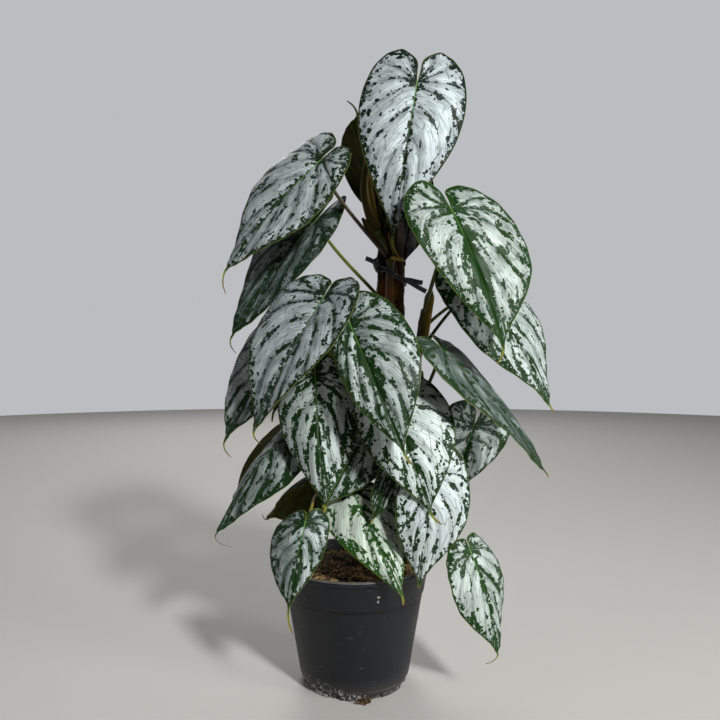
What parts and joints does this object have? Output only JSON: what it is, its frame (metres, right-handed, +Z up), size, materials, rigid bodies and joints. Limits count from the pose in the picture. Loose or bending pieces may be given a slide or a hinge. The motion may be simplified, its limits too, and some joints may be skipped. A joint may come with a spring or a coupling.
{
  "type": "potted silver leaf philodendron",
  "caption": "Climbing house plant with heart-shaped silver and green leaves, tied to a coir pole in a round nursery pot.",
  "frame": {"origin": "middle of the pot's flat base, where it rests", "axes": "+Z up along the pole, -Y towards the side that most leaves face, +X to the right seen from there"},
  "size_m": [0.2635, 0.1749, 0.5003],
  "materials": {
    "pot": "moulded matt black with a faint sheen",
    "potting_mix": "loose damp bark and fibre",
    "coir": "coarse pressed fibre",
    "tie": "soft flat strip",
    "stem": "smooth waxy green to brown",
    "leaf": "silver blade with dark green marks, satin with a fine gloss"
  },
  "bodies": {
    "root": {"pot": "pot", "potting_mix": "potting_mix", "coir_pole": "coir", "plant_tie": "tie", "vine_main": "stem", "vine_right": "stem", "vine_low": "stem", "leaf_01_crown": "leaf", "leaf_02_right_high": "leaf", "leaf_03_right_under": "leaf", "leaf_04_right_narrow": "leaf", "leaf_05_left_high": "leaf", "leaf_06_left_shaded": "leaf", "leaf_07_left_edge": "leaf", "leaf_08_front_left": "leaf", "leaf_09_front_middle": "leaf", "leaf_10_front_inner": "leaf", "leaf_11_front_right": "leaf", "leaf_12_low_left": "leaf", "leaf_13_low_left_turned": "leaf", "leaf_14_front_small": "leaf", "leaf_15_low_middle": "leaf", "leaf_16_low_right": "leaf", "leaf_17_hanging_right": "leaf", "leaf_18_right_middle": "leaf", "leaf_19_upright_back": "leaf", "leaf_20_crown_back": "leaf", "leaf_21_back_right": "leaf", "leaf_22_back_left": "leaf", "leaf_23_inner_shade": "leaf", "leaf_24_inner_narrow": "leaf", "leaf_25_low_left_back": "leaf", "leaf_26_back_middle": "leaf", "leaf_27_back_low_right": "leaf", "leaf_28_back_low": "leaf"}
  },
  "joints": []
}
